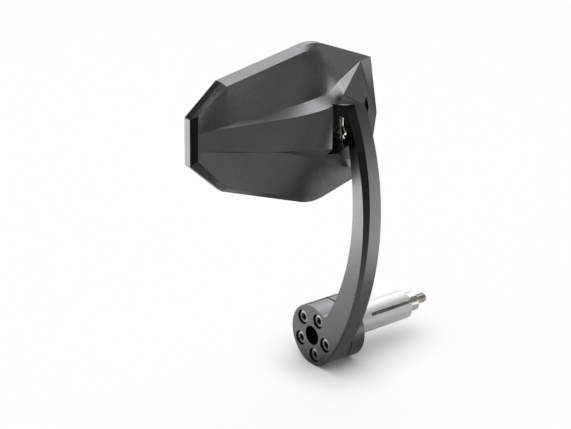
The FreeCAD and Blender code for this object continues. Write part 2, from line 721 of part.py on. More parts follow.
def pocket_space(grow):
    """Space of the ball joint's pocket, made larger by grow on its back, sides and floor."""
    points = housing_points(0.0, 1.0)
    shelf_left = points["shelf_left"]
    shelf_right = points["shelf_right"]
    back = stud_x - pocket_back - grow
    right = stud_y + pocket_right + grow
    start = Vector(back, stud_y - pocket_start - grow, 0)
    middle = Vector(stud_x + pocket_turn_out, stud_y - pocket_turn - grow, 0)
    end = Vector(stud_x + pocket_end_out, stud_y - pocket_end - grow, 0)
    front_left = Vector(reach, end.y - pocket_flare, 0)
    front_right = Vector(reach, right, 0)
    back_right = Vector(back, right, 0)
    plan = Part.Face(Part.Wire([
        Part.Arc(start, middle, end).toShape(), line_between(end, front_left),
        line_between(front_left, front_right), line_between(front_right, back_right),
        line_between(back_right, start)]))
    space = plan.extrude(ALONG_Z * reach)
    space.translate(ALONG_Z * (retainer_top_z - reach / 2))

    along_shelf = (shelf_right - shelf_left) * (reach / (shelf_right.y - shelf_left.y))
    roof_left = Vector(0, shelf_left.y - along_shelf.y, shelf_left.z - along_shelf.z + grow)
    roof_right = Vector(0, shelf_left.y + along_shelf.y, shelf_left.z + along_shelf.z + grow)
    above = ALONG_Z * (reach * 2)
    roof = polygon_face([roof_left, roof_right, roof_right + above, roof_left + above])
    space = space.cut(roof.extrude(ALONG_X * reach))

    ramp_reach = (socket_part_radius + ramp_margin) / math.sqrt(2)
    ramp_top = Vector(stud_x + ramp_reach, stud_y + ramp_reach, retainer_top_z)
    slope = (points["sill_end"] - ramp_top).cross(points["sill_turn"] - ramp_top)
    if slope.x < 0:
        slope = slope * -1
    slope.normalize()
    floor = Part.makeBox(reach * 2, reach * 2, reach)
    floor.translate(Vector(-reach, stud_y - reach, retainer_top_z - reach - grow))
    ramp = Part.makeCylinder(reach, reach, ramp_top - slope * grow, slope)
    return space.cut(floor.cut(ramp))


def make_housing():
    """Hollow housing behind the glass, with the ball joint's pocket and socket."""
    outer = housing_solid(0.0, 1.0)
    recess = rim_face(rim_back_x, rim_lip).extrude(ALONG_X * (pad_back_x - rim_back_x))
    hollow = housing_solid(wall_thickness, 1.0 - wall_thickness / side_reach)
    below_pad = box_between(Vector(-reach, -reach * 2, 0), Vector(pad_back_x, reach, reach * 2))
    boss = rod(socket_boss_radius, Vector(stud_x, stud_y, spring_bottom_z - socket_floor),
               Vector(stud_x, stud_y, retainer_top_z))
    around_pocket = box_between(Vector(solid_back_x, solid_left_y, 0), Vector(reach, reach, reach * 2))
    hollow = hollow.cut([below_pad, pocket_space(wall_thickness), boss, around_pocket])
    bore = rod(socket_bore_radius, Vector(stud_x, stud_y, spring_bottom_z),
               Vector(stud_x, stud_y, retainer_top_z + socket_floor))
    housing = outer.cut([recess, hollow])
    return housing.cut([pocket_space(0.0), bore])


def make_glass():
    """Mirror glass, set back a little behind the rim."""
    return rim_face(glass_front_x, rim_lip + glass_clearance).extrude(ALONG_X * glass_thickness)


def make_pad():
    """Pad that holds the glass to the ledge inside the housing."""
    return rim_face(pad_front_x, rim_lip + glass_clearance).extrude(ALONG_X * pad_thickness)


def build():
    """Every piece of the mirror by name."""
    pieces = {
        "arm": make_arm(), "bar_end_drum": make_drum(), "plug_sleeve": make_sleeve(),
        "expander_cone": make_cone(), "expander_bolt": make_expander_bolt(),
        "bolt_washer": make_bolt_washer(), "ball_stud": make_ball_stud(),
        "stud_lock_screw": make_lock_screw(), "upper_seat": make_seat(1), "lower_seat": make_seat(-1),
        "retainer_ring": make_retainer(), "pressure_cup": make_pressure_cup(),
        "disc_spring": make_disc_spring(), "mirror_housing": make_housing(),
        "mirror_glass": make_glass(), "glass_pad": make_pad()}
    for number, angle in enumerate(screw_places(), 1):
        pieces["arm_screw_%d" % number] = make_arm_screw(angle)
    return pieces


os.makedirs("parts", exist_ok=True)
for name, shape in build().items():
    shape.exportStep("parts/" + name + ".step")
    print(name, shape.ShapeType, len(shape.Solids), shape.isValid(), round(shape.Volume, 1))
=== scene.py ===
"""A bar end mirror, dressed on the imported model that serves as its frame."""

import json
import logging
import math
from dataclasses import dataclass
from enum import Enum
from typing import Callable

import bpy
from bpy.types import Material, Node, NodeInputs, NodeOutputs, NodeSocket, NodeTree, Object
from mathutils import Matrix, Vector


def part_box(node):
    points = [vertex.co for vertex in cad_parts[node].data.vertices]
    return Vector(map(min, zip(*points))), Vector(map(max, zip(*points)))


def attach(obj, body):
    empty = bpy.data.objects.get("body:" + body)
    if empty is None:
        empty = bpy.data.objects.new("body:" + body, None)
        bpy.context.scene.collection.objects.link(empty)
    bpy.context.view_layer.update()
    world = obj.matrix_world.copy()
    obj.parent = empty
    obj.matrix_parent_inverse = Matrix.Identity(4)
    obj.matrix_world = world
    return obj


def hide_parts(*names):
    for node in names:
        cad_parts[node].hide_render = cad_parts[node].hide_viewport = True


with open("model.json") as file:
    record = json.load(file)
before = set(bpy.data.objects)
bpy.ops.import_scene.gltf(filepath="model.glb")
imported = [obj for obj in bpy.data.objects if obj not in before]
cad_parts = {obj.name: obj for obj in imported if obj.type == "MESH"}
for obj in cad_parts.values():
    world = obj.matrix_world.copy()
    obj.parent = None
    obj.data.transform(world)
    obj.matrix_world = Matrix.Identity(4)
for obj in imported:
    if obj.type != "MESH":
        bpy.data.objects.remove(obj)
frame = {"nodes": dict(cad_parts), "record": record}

MILLIMETRE = 0.001
# Turn between two faces of a made piece from which their edge is shaded sharp, in radians.
SHARP_TURN = math.radians(32.0)
# Colour sockets of the mix node, whose names are shared by its other data types.
MIX_FIRST = 6
MIX_SECOND = 7
MIX_RESULT = 2

Colour = tuple[float, float, float]
Place = tuple[float, float, float]
Span = tuple[float, float]
Ring = list[Vector]

log = logging.getLogger("bar_end_mirror")


class Slot(Enum):
    """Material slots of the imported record."""

    BLACK_ANODISED = "black_anodised"
    TURNED_ALUMINIUM = "turned_aluminium"
    NICKEL_PLATED = "nickel_plated"
    DARK_CHROME = "dark_chrome"
    BLACK_STEEL = "black_steel"
    SEAT_PLASTIC = "seat_plastic"
    SPRING_STEEL = "spring_steel"
    MIRROR_COATING = "mirror_coating"
    PAD_FOAM = "pad_foam"


@dataclass
class Graph:
    """A shader node tree that is wired with short calls.

    Attributes:
        tree: Node tree of a material, a world or a group.
    """

    tree: NodeTree

    def add(self, kind: str, **settings: object) -> Node:
        """Add a node.

        Args:
            kind: Type name of the node.
            **settings: Properties of the node.

        Returns:
            The new node.
        """
        node = self.tree.nodes.new(kind)
        for name, value in settings.items():
            setattr(node, name, value)
        return node

    def feed(self, socket: NodeSocket, value: object) -> None:
        """Link an output to a socket, or set the socket's value.

        Args:
            socket: Input socket.
            value: Output socket, number or tuple.
        """
        if isinstance(value, NodeSocket):
            self.tree.links.new(value, socket)
        else:
            socket.default_value = value

    def maths(self, operation: str, first: object, second: object = 0.0) -> NodeSocket:
        """Work out one number from two.

        Args:
            operation: Name of the operation.
            first: Output socket or number.
            second: Output socket or number.

        Returns:
            Output socket of the result.
        """
        node = self.add("ShaderNodeMath", operation=operation)
        self.feed(node.inputs[0], first)
        self.feed(node.inputs[1], second)
        return node.outputs[0]

    def spread(self, value: object, low: float, high: float, start: float = 0.0, end: float = 1.0,
               smooth: bool = False) -> NodeSocket:
        """Map a range of numbers to another.

        Args:
            value: Output socket to map.
            low: Value that becomes start.
            high: Value that becomes end.
            start: Result at low.
            end: Result at high.
            smooth: Whether the two ends are eased.

        Returns:
            Output socket of the result.
        """
        node = self.add("ShaderNodeMapRange", interpolation_type="SMOOTHSTEP" if smooth else "LINEAR")
        for socket, amount in zip(node.inputs, (value, low, high, start, end)):
            self.feed(socket, amount)
        return node.outputs[0]

    def blend(self, share: object, first: object, second: object) -> NodeSocket:
        """Mix two colours.

        Args:
            share: Share of the second colour.
            first: Colour or output socket at share 0.
            second: Colour or output socket at share 1.

        Returns:
            Output socket of the mixed colour.
        """
        node = self.add("ShaderNodeMix", data_type="RGBA")
        self.feed(node.inputs["Factor"], share)
        self.feed(node.inputs[MIX_FIRST], first)
        self.feed(node.inputs[MIX_SECOND], second)
        return node.outputs[MIX_RESULT]

    def noise(self, place: object, scale: object, detail: float = 2.0) -> NodeSocket:
        """Add a noise texture.

        Args:
            place: Output socket of the coordinates.
            scale: Number of grains in a metre.
            detail: Number of finer layers.

        Returns:
            Output socket of the noise.
        """
        node = self.add("ShaderNodeTexNoise")
        self.feed(node.inputs["Vector"], place)
        self.feed(node.inputs["Scale"], scale)
        node.inputs["Detail"].default_value = detail
        return node.outputs["Fac"]


@dataclass(frozen=True)
class Socket:
    """One socket of a shader group.

    Attributes:
        name: Name of the socket.
        default: Value where nothing is linked, for a number.
        is_output: Whether the socket is an output.
        kind: Type name of the socket.
    """

    name: str
    default: float = 0.0
    is_output: bool = False
    kind: str = "NodeSocketFloat"


class SurfaceGroup:
    """A surface effect that several finishes share, built once as a shader group.

    Attributes:
        name: Name of the group.
        sockets: Sockets of the group, in order.
    """

    name = "surface_group"
    sockets: tuple[Socket, ...] = ()

    def tree(self) -> NodeTree:
        """Find the group, or build it on its first use.

        Returns:
            Node tree of the group.
        """
        found = bpy.data.node_groups.get(self.name)
        if found:
            return found
        tree = bpy.data.node_groups.new(self.name, "ShaderNodeTree")
        for socket in self.sockets:
            direction = "OUTPUT" if socket.is_output else "INPUT"
            made = tree.interface.new_socket(socket.name, in_out=direction, socket_type=socket.kind)
            if not socket.is_output and socket.kind == "NodeSocketFloat":
                made.default_value = socket.default
        graph = Graph(tree)
        self.wire(graph, graph.add("NodeGroupInput").outputs, graph.add("NodeGroupOutput").inputs)
        return tree

    def wire(self, graph: Graph, given: NodeOutputs, result: NodeInputs) -> None:
        """Build the inside of the group.

        Args:
            graph: Graph of the group.
            given: Outputs of the group's input node.
            result: Inputs of the group's output node.
        """
        raise NotImplementedError

    def place(self, graph: Graph, **values: object) -> NodeOutputs:
        """Put the group into a material or the world.

        Args:
            graph: Graph of the material or the world.
            **values: Numbers or output sockets for the inputs, with underscores for spaces.

        Returns:
            Outputs of the placed group.
        """
        node = graph.add("ShaderNodeGroup")
        node.node_tree = self.tree()
        for name, value in values.items():
            graph.feed(node.inputs[name.replace("_", " ")], value)
        return node.outputs


class BlastedGrain(SurfaceGroup):
    """The fine grain of bead-blasted metal, with a slow change of tone from handling.

    Attributes:
        coarse_scale: Coarse grains for each fine one along a line.
        coarse_share: Share of the coarse grain in the height.
        tone_span: Heights between which the tone changes.
        cloud_span: Noise values between which a cloud fades in.
    """

    name = "blasted_grain"
    sockets = (Socket("Grain Size", 0.0003), Socket("Cloud Size", 0.02), Socket("Height", is_output=True),
               Socket("Tone", is_output=True), Socket("Cloud", is_output=True))
    coarse_scale = 0.35
    coarse_share = 0.35
    tone_span = (0.35, 0.65)
    cloud_span = (0.3, 0.7)

    def wire(self, graph: Graph, given: NodeOutputs, result: NodeInputs) -> None:
        """Build two layers of grain and one layer of clouds.

        Args:
            graph: Graph of the group.
            given: Outputs of the group's input node.
            result: Inputs of the group's output node.
        """
        place = graph.add("ShaderNodeTexCoord").outputs["Object"]
        fineness = graph.maths("DIVIDE", 1.0, given["Grain Size"])
        fine = graph.noise(place, fineness, detail=3.0)
        coarse = graph.noise(place, graph.maths("MULTIPLY", fineness, self.coarse_scale))
        grain = graph.maths("ADD", graph.maths("MULTIPLY", fine, 1.0 - self.coarse_share),
                            graph.maths("MULTIPLY", coarse, self.coarse_share))
        cloud = graph.noise(place, graph.maths("DIVIDE", 1.0, given["Cloud Size"]), detail=3.0)
        graph.feed(result["Height"], grain)
        graph.feed(result["Tone"], graph.spread(grain, *self.tone_span))
        graph.feed(result["Cloud"], graph.spread(cloud, *self.cloud_span, smooth=True))


class TurnedLines(SurfaceGroup):
    """Fine rings that a lathe leaves around the clamp axis, uneven in depth and spacing.

    Attributes:
        band_scale: Broad bands for each fine line.
        band_height: Height of the bands against the lines.
        scratch_scale: Scratches for each fine line.
        tone_span: Noise values between which the tone of a line changes.
        scratch_span: Noise values between which a scratch fades in.
    """

    name = "turned_lines"
    sockets = (Socket("Line Spacing", 0.0002), Socket("Height", is_output=True),
               Socket("Tone", is_output=True), Socket("Scratch", is_output=True))
    band_scale = 0.12
    band_height = 0.5
    scratch_scale = 0.3
    tone_span = (0.35, 0.65)
    scratch_span = (0.62, 0.7)

    def wire(self, graph: Graph, given: NodeOutputs, result: NodeInputs) -> None:
        """Build noise that changes along the axis and outwards only, and sparse scratches.

        Args:
            graph: Graph of the group.
            given: Outputs of the group's input node.
            result: Inputs of the group's output node.
        """
        place = graph.add("ShaderNodeTexCoord").outputs["Object"]
        split = graph.add("ShaderNodeSeparateXYZ")
        graph.feed(split.inputs[0], place)
        radius = graph.maths("SQRT", graph.maths("ADD", graph.maths("POWER", split.outputs["X"], 2.0),
                                                 graph.maths("POWER", split.outputs["Z"], 2.0)))
        turned = graph.add("ShaderNodeCombineXYZ")
        graph.feed(turned.inputs["X"], radius)
        graph.feed(turned.inputs["Y"], split.outputs["Y"])
        fineness = graph.maths("DIVIDE", 1.0, given["Line Spacing"])
        lines = graph.noise(turned.outputs[0], fineness)
        bands = graph.noise(turned.outputs[0], graph.maths("MULTIPLY", fineness, self.band_scale), detail=1.0)
        scratch = graph.noise(place, graph.maths("MULTIPLY", fineness, self.scratch_scale), detail=4.0)
        height = graph.maths("ADD", lines, graph.maths("MULTIPLY", bands, self.band_height))
        graph.feed(result["Height"], height)
        graph.feed(result["Tone"], graph.spread(lines, *self.tone_span))
        graph.feed(result["Scratch"], graph.spread(scratch, *self.scratch_span))


class EdgeWear(SurfaceGroup):
    """A mask of the outer edges, where handling has thinned the finish.

    Attributes:
        samples: Samples of the rounded normal.
        band_span: Agreement of the two normals where the mask starts and where it is full.
        breakup_span: Noise values between which the mask fades in.
    """

    name = "edge_wear"
    sockets = (Socket("Width", 0.0003), Socket("Breakup Size", 0.002), Socket("Mask", is_output=True))
    samples = 6
    band_span = (0.97, 0.85)
    breakup_span = (0.35, 0.6)

    def wire(self, graph: Graph, given: NodeOutputs, result: NodeInputs) -> None:
        """Compare the rounded normal with the true one, and break the band up with noise.

        Args:
            graph: Graph of the group.
            given: Outputs of the group's input node.
            result: Inputs of the group's output node.
        """
        rounded = graph.add("ShaderNodeBevel", samples=self.samples)
        graph.feed(rounded.inputs["Radius"], given["Width"])
        turn = graph.add("ShaderNodeVectorMath", operation="DOT_PRODUCT")
        graph.feed(turn.inputs[0], rounded.outputs["Normal"])
        graph.feed(turn.inputs[1], graph.add("ShaderNodeNewGeometry").outputs["True Normal"])
        band = graph.spread(turn.outputs["Value"], *self.band_span, smooth=True)
        place = graph.add("ShaderNodeTexCoord").outputs["Object"]
        breakup = graph.noise(place, graph.maths("DIVIDE", 1.0, given["Breakup Size"]), detail=3.0)
        graph.feed(result["Mask"], graph.maths("MULTIPLY", band, graph.spread(breakup, *self.breakup_span)))


@dataclass(frozen=True)
class Glow:
    """One soft patch of the room, as shiny surfaces see it.

    Attributes:
        way: Direction of its middle.
        inner: Angle from the middle up to which it is full, in degrees.
        outer: Angle from the middle where it has faded out, in degrees.
        level: Brightness, below zero for a dark screen.
    """

    way: Place
    inner: float
    outer: float
    level: float


# Brightness of the room between its soft patches, and where it is darkest.
ROOM_LEVEL = 0.2
ROOM_DARKEST = 0.02
ROOM_GLOWS = (
    Glow((-0.30, 0.25, 0.92), 22.0, 37.0, 1.85),
    Glow((-0.66, 0.60, 0.45), 12.0, 28.0, 1.5),
    Glow((-0.77, -0.60, -0.25), 12.0, 32.0, 2.8),
    Glow((-0.55, -0.35, -0.75), 15.0, 40.0, 0.8),
    Glow((0.56, 0.76, -0.33), 12.0, 37.0, 1.6),
    Glow((-0.05, 0.75, -0.66), 8.0, 30.0, 0.35),
    Glow((0.62, 0.05, -0.75), 12.0, 42.0, 0.3),
    Glow((0.95, -0.30, -0.35), 8.0, 28.0, 0.25),
    Glow((0.93, 0.08, 0.37), 12.0, 34.0, 0.25),
    Glow((0.97, 0.22, -0.25), 8.0, 22.0, -0.2),
    Glow((-0.82, -0.30, 0.50), 8.0, 30.0, -0.2),
    Glow((0.14, 0.87, 0.47), 5.0, 17.0, 0.6),
    Glow((0.45, -0.85, -0.20), 25.0, 55.0, -0.15),
)


class RoomLight(SurfaceGroup):
    """The brightness of the room in every direction, as shiny surfaces see it."""

    name = "room_light"
    sockets = (Socket("Direction", kind="NodeSocketVector"), Socket("Level", is_output=True))

    def wire(self, graph: Graph, given: NodeOutputs, result: NodeInputs) -> None:
        """Add the soft patches up.

        Args:
            graph: Graph of the group.
            given: Outputs of the group's input node.
            result: Inputs of the group's output node.
        """
        way = graph.add("ShaderNodeVectorMath", operation="NORMALIZE")
        graph.feed(way.inputs[0], given["Direction"])
        level = ROOM_LEVEL
        for glow in ROOM_GLOWS:
            turn = graph.add("ShaderNodeVectorMath", operation="DOT_PRODUCT")
            graph.feed(turn.inputs[0], way.outputs[0])
            turn.inputs[1].default_value = Vector(glow.way).normalized()
            fade = graph.spread(turn.outputs["Value"], math.cos(math.radians(glow.outer)),
                                math.cos(math.radians(glow.inner)), 0.0, glow.level, smooth=True)
            level = graph.maths("ADD", fade, level)
        graph.feed(result["Level"], graph.maths("MAXIMUM", level, ROOM_DARKEST))


GRAIN = BlastedGrain()
TURNING = TurnedLines()
WEAR = EdgeWear()
ROOM = RoomLight()


@dataclass(frozen=True)
class BareEdge:
    """The bare edges of a finish.

    Attributes:
        width: Width of the edge in metres.
        breakup: Size of the gaps in it in metres.
        strength: Share of the bare shade where the edge is fully worn.
        shade: Share of the main colour for the bare shade.
    """

    width: float
    breakup: float
    strength: float
    shade: float


@dataclass(frozen=True)
class Finish:
    """One finish of the mirror. Each kind adds its own detail in the dress method.

    Attributes:
        slot: Slot of the record that the finish fills.
        colour: Main colour.
        roughness: Roughness where the surface is clean.
        metallic: Share of metal in the shader.
    """

    slot: Slot
    colour: Colour
    roughness: float
    metallic: float = 1.0

    def material(self) -> Material:
        """Find the material, or build it on its first use.

        Returns:
            The material.
        """
        name = "finish_" + self.slot.value
        found = bpy.data.materials.get(name)
        if found:
            return found
        made = bpy.data.materials.new(name)
        made.use_nodes = True
        made.diffuse_color = (*self.colour, 1.0)
        graph = Graph(made.node_tree)
        surface = made.node_tree.nodes["Principled BSDF"]
        surface.inputs["Metallic"].default_value = self.metallic
        surface.inputs["Base Color"].default_value = (*self.colour, 1.0)
        surface.inputs["Roughness"].default_value = self.roughness
        self.dress(graph, surface)
        return made

    def dress(self, graph: Graph, surface: Node) -> None:
        """Wire the detail of the finish.

        Args:
            graph: Graph of the material.
            surface: The material's main shader.
        """
        raise NotImplementedError

    def shade(self, share: float) -> tuple[float, float, float, float]:
        """Return the main colour, made lighter or darker by a share."""
        return (*(min(1.0, part * share) for part in self.colour), 1.0)

    def tinted(self, graph: Graph, share: object, shades: Span) -> NodeSocket:
        """Change the main colour between two shades of it.

        Args:
            graph: Graph of the material.
            share: Output socket that runs from 0 to 1.
            shades: Shares of the main colour at 0 and at 1.

        Returns:
            Output socket of the colour.
        """
        return graph.blend(share, self.shade(shades[0]), self.shade(shades[1]))

    def roughened(self, graph: Graph, share: object, change: Span) -> NodeSocket:
        """Change the roughness around its main value.

        Args:
            graph: Graph of the material.
            share: Output socket that runs from 0 to 1.
            change: Change of the roughness at 0 and at 1.

        Returns:
            Output socket of the roughness.
        """
        return graph.spread(share, 0.0, 1.0, self.roughness + change[0], self.roughness + change[1])

    def worn(self, graph: Graph, tone: NodeSocket, edge: BareEdge) -> NodeSocket:
        """Lay the bare edges over a colour.

        Args:
            graph: Graph of the material.
            tone: Output socket of the colour.
            edge: Bare edges of the finish.

        Returns:
            Output socket of the colour.
        """
        mask = WEAR.place(graph, Width=edge.width, Breakup_Size=edge.breakup)["Mask"]
        return graph.blend(graph.maths("MULTIPLY", mask, edge.strength), tone, self.shade(edge.shade))

    def relief(self, graph: Graph, surface: Node, height: object, depth: float,
               strength: float = 1.0) -> None:
        """Feed a height into the shader's normal.

        Args:
            graph: Graph of the material.
            surface: The material's main shader.
            height: Output socket of the height.
            depth: Depth of the relief in metres.
            strength: Strength of the relief.
        """
        bump = graph.add("ShaderNodeBump")
        bump.inputs["Strength"].default_value = strength
        bump.inputs["Distance"].default_value = depth
        graph.feed(bump.inputs["Height"], height)
        graph.feed(surface.inputs["Normal"], bump.outputs["Normal"])


@dataclass(frozen=True)
class GrainedFinish(Finish):
    """A finish with a fine grain and slow clouds over it.

    Attributes:
        grain: Size of the grain in metres.
        cloud: Size of the clouds in metres.
        tones: Shades of the main colour between which the finish changes.
        depth: Depth of the grain in metres.
        strength: Strength of the relief.
    """

    grain: float = 0.0004
    cloud: float = 0.018
    tones: Span = (0.86, 1.14)
    depth: float = 0.00002
    strength: float = 0.6

    def grained(self, graph: Graph, surface: Node) -> NodeOutputs:
        """Place the grain and feed its height into the shader's normal.

        Args:
            graph: Graph of the material.
            surface: The material's main shader.

        Returns:
            Outputs of the placed grain.
        """
        grain = GRAIN.place(graph, Grain_Size=self.grain, Cloud_Size=self.cloud)
        self.relief(graph, surface, grain["Height"], self.depth, self.strength)
        return grain


@dataclass(frozen=True)
class BlackAnodising(GrainedFinish):
    """Bead-blasted black anodised aluminium.

    Attributes:
        edge: Bare edges.
        grain_roughness: Change of the roughness from the grain's hollows to its tops.
        cloud_roughness: Added roughness in the clouds.
    """

    edge: BareEdge = BareEdge(width=0.0003, breakup=0.0016, strength=0.15, shade=2.2)
    grain_roughness: Span = (-0.03, 0.03)
    cloud_roughness: float = 0.05

    def dress(self, graph: Graph, surface: Node) -> None:
        """Add grain, clouds and slightly brighter edges.

        Args:
            graph: Graph of the material.
            surface: The material's main shader.
        """
        grain = self.grained(graph, surface)
        tone = self.tinted(graph, grain["Tone"], self.tones)
        graph.feed(surface.inputs["Base Color"], self.worn(graph, tone, self.edge))
        rough = graph.maths("ADD", graph.maths("MULTIPLY", grain["Cloud"], self.cloud_roughness),
                            self.roughened(graph, grain["Tone"], self.grain_roughness))
        graph.feed(surface.inputs["Roughness"], rough)


@dataclass(frozen=True)
class TurnedMetal(Finish):
    """Bare or plated metal with lathe lines around the clamp axis.

    Attributes:
        spacing: Spacing of the lines in metres.
        depth: Depth of the lines in metres.
        tones: Shades of the lines, from their hollows to their tops.
        line_roughness: Change of the roughness from the hollows to the tops.
        scratch_strength: Share of the scratches' shade where they are deepest.
        scratch_shade: Share of the main colour for the scratches' shade.
    """

    spacing: float = 0.00022
    depth: float = 0.000012
    tones: Span = (0.88, 1.08)
    line_roughness: Span = (-0.04, 0.06)
    scratch_strength: float = 0.25
    scratch_shade: float = 0.7

    def dress(self, graph: Graph, surface: Node) -> None:
        """Add lines, a change of tone and a few scratches.

        Args:
            graph: Graph of the material.
            surface: The material's main shader.
        """
        lines = TURNING.place(graph, Line_Spacing=self.spacing)
        tone = self.tinted(graph, lines["Tone"], self.tones)
        scratch = graph.maths("MULTIPLY", lines["Scratch"], self.scratch_strength)
        graph.feed(surface.inputs["Base Color"], graph.blend(scratch, tone, self.shade(self.scratch_shade)))
        graph.feed(surface.inputs["Roughness"], self.roughened(graph, lines["Tone"], self.line_roughness))
        self.relief(graph, surface, lines["Height"], self.depth)


@dataclass(frozen=True)
class PolishedMetal(GrainedFinish):
    """Polished metal with faint haze and slightly bare edges.

    Attributes:
        edge: Bare edges.
        haze: Added roughness where the haze is strongest.
    """

    grain: float = 0.0006
    cloud: float = 0.004
    tones: Span = (0.9, 1.08)
    depth: float = 0.000004
    strength: float = 0.5
    edge: BareEdge = BareEdge(width=0.0002, breakup=0.001, strength=0.5, shade=1.9)
    haze: float = 0.08

    def dress(self, graph: Graph, surface: Node) -> None:
        """Add haze, faint grain and brighter edges.

        Args:
            graph: Graph of the material.
            surface: The material's main shader.
        """
        grain = self.grained(graph, surface)
        tone = self.tinted(graph, grain["Cloud"], self.tones)
        graph.feed(surface.inputs["Base Color"], self.worn(graph, tone, self.edge))
        graph.feed(surface.inputs["Roughness"], self.roughened(graph, grain["Cloud"], (0.0, self.haze)))


@dataclass(frozen=True)
class SilveredGlass(GrainedFinish):
    """Mirror glass, silvered on its face and dark at its ground edge.

    Attributes:
        dust: Added roughness where the dust is thickest.
        edge_span: Sizes of the normal's X where the ground edge starts and where it is full.
        edge_colour: Colour of the ground edge.
        edge_roughness: Added roughness of the ground edge.
    """

    grain: float = 0.0009
    cloud: float = 0.03
    tones: Span = (0.98, 1.02)
    depth: float = 0.000001
    strength: float = 0.3
    dust: float = 0.02
    edge_span: Span = (0.9, 0.4)
    edge_colour: Colour = (0.10, 0.16, 0.13)
    edge_roughness: float = 0.3

    def dress(self, graph: Graph, surface: Node) -> None:
        """Add a green-grey ground edge and a faint film of dust.

        Args:
            graph: Graph of the material.
            surface: The material's main shader.
        """
        grain = self.grained(graph, surface)
        split = graph.add("ShaderNodeSeparateXYZ")
        graph.feed(split.inputs[0], graph.add("ShaderNodeNewGeometry").outputs["True Normal"])
        edge = graph.spread(graph.maths("ABSOLUTE", split.outputs["X"]), *self.edge_span, smooth=True)
        face = self.tinted(graph, grain["Cloud"], self.tones)
        graph.feed(surface.inputs["Base Color"], graph.blend(edge, face, (*self.edge_colour, 1.0)))
        graph.feed(surface.inputs["Metallic"], graph.maths("SUBTRACT", 1.0, edge))
        dusty = self.roughened(graph, grain["Cloud"], (0.0, self.dust))
        ground = graph.maths("MULTIPLY", edge, self.edge_roughness)
        graph.feed(surface.inputs["Roughness"], graph.maths("ADD", dusty, ground))


@dataclass(frozen=True)
class SoftFiller(GrainedFinish):
    """Plastic or foam with pores for its grain.

    Attributes:
        cloud_roughness: Change of the roughness outside and inside a cloud.
    """

    grain: float = 0.0006
    cloud: float = 0.006
    tones: Span = (0.8, 1.15)
    depth: float = 0.00004
    strength: float = 0.8
    cloud_roughness: Span = (-0.05, 0.08)

    def dress(self, graph: Graph, surface: Node) -> None:
        """Add pores and a change of tone.

        Args:
            graph: Graph of the material.
            surface: The material's main shader.
        """
        grain = self.grained(graph, surface)
        graph.feed(surface.inputs["Base Color"], self.tinted(graph, grain["Tone"], self.tones))
        graph.feed(surface.inputs["Roughness"], self.roughened(graph, grain["Cloud"], self.cloud_roughness))


FINISHES: dict[Slot, Finish] = {finish.slot: finish for finish in (
    BlackAnodising(Slot.BLACK_ANODISED, (0.16, 0.16, 0.165), 0.30),
    TurnedMetal(Slot.TURNED_ALUMINIUM, (0.76, 0.76, 0.76), 0.5, metallic=0.5),
    TurnedMetal(Slot.NICKEL_PLATED, (0.66, 0.62, 0.56), 0.2, spacing=0.0003, depth=0.000006),
    PolishedMetal(Slot.DARK_CHROME, (0.60, 0.56, 0.49), 0.20),
    PolishedMetal(Slot.BLACK_STEEL, (0.30, 0.30, 0.31), 0.22),
    SoftFiller(Slot.SEAT_PLASTIC, (0.75, 0.74, 0.70), 0.45, metallic=0.0),
    PolishedMetal(Slot.SPRING_STEEL, (0.50, 0.50, 0.52), 0.25),
    SilveredGlass(Slot.MIRROR_COATING, (0.86, 0.88, 0.90), 0.015),
    SoftFiller(Slot.PAD_FOAM, (0.03, 0.03, 0.03), 0.8, metallic=0.0),
)}


def finish_piece(piece: Object, body: str, slot: Slot) -> Object:
    """Make a new piece ride on a body and give it its finish.

    Args:
        piece: New mesh object.
        body: Name of the CAD body that carries it.
        slot: Slot of its finish.

    Returns:
        The piece.
    """
    piece.data.materials.clear()
    piece.data.materials.append(FINISHES[slot].material())
    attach(piece, body)
    return piece


def mesh_from_rings(name: str, rings: list[Ring]) -> Object:
    """Join rings of equal length into a closed mesh with an end at each end ring.

    Args:
        name: Name of the new object.
        rings: Rings of points, from one end to the other.

    Returns:
        The new object.
    """
    count = len(rings[0])
    points = [point for ring in rings for point in ring]
    faces = []
    for row in range(len(rings) - 1):
        for step in range(count):
            following = (step + 1) % count
            low = row * count
            faces.append((low + step, low + following, low + count + following, low + count + step))
    first = len(points)
    points.append(sum(rings[0], Vector()) / count)
    points.append(sum(rings[-1], Vector()) / count)
    last = (len(rings) - 1) * count
    for step in range(count):
        following = (step + 1) % count
        faces.append((first, following, step))
        faces.append((first + 1, last + step, last + following))
    mesh = bpy.data.meshes.new(name)
    mesh.from_pydata([point * MILLIMETRE for point in points], [], faces)
    mesh.shade_smooth()
    mesh.set_sharp_from_angle(angle=SHARP_TURN)
    mesh.update()
    piece = bpy.data.objects.new(name, mesh)
    bpy.context.scene.collection.objects.link(piece)
    return piece


@dataclass
class SoftEdges:
    """Broken edges of the CAD pieces that show.

    Attributes:
        width: Width of the broken edge in millimetres.
        angle: Smallest turn between two faces that counts as an edge, in degrees.
        weld_gap: Distance in millimetres up to which points are joined first.
        segments: Faces across the broken edge.
    """

    width: float = 0.3
    angle: float = 16.0
    weld_gap: float = 0.002
    segments: int = 2

    def dress(self, node: str) -> None:
        """Round a CAD node's edges with modifiers and leave its mesh alone.

        Args:
            node: Name of the CAD node.
        """
        piece = frame["nodes"][node]
        weld = piece.modifiers.new("weld", "WELD")
        weld.merge_threshold = self.weld_gap * MILLIMETRE
        bevel = piece.modifiers.new("broken_edge", "BEVEL")
        bevel.width = self.width * MILLIMETRE
        bevel.segments = self.segments
        bevel.limit_method = "ANGLE"
        bevel.angle_limit = math.radians(self.angle)
        bevel.use_clamp_overlap = True
        normals = piece.modifiers.new("face_normals", "WEIGHTED_NORMAL")
        normals.mode = "FACE_AREA"
        normals.keep_sharp = False


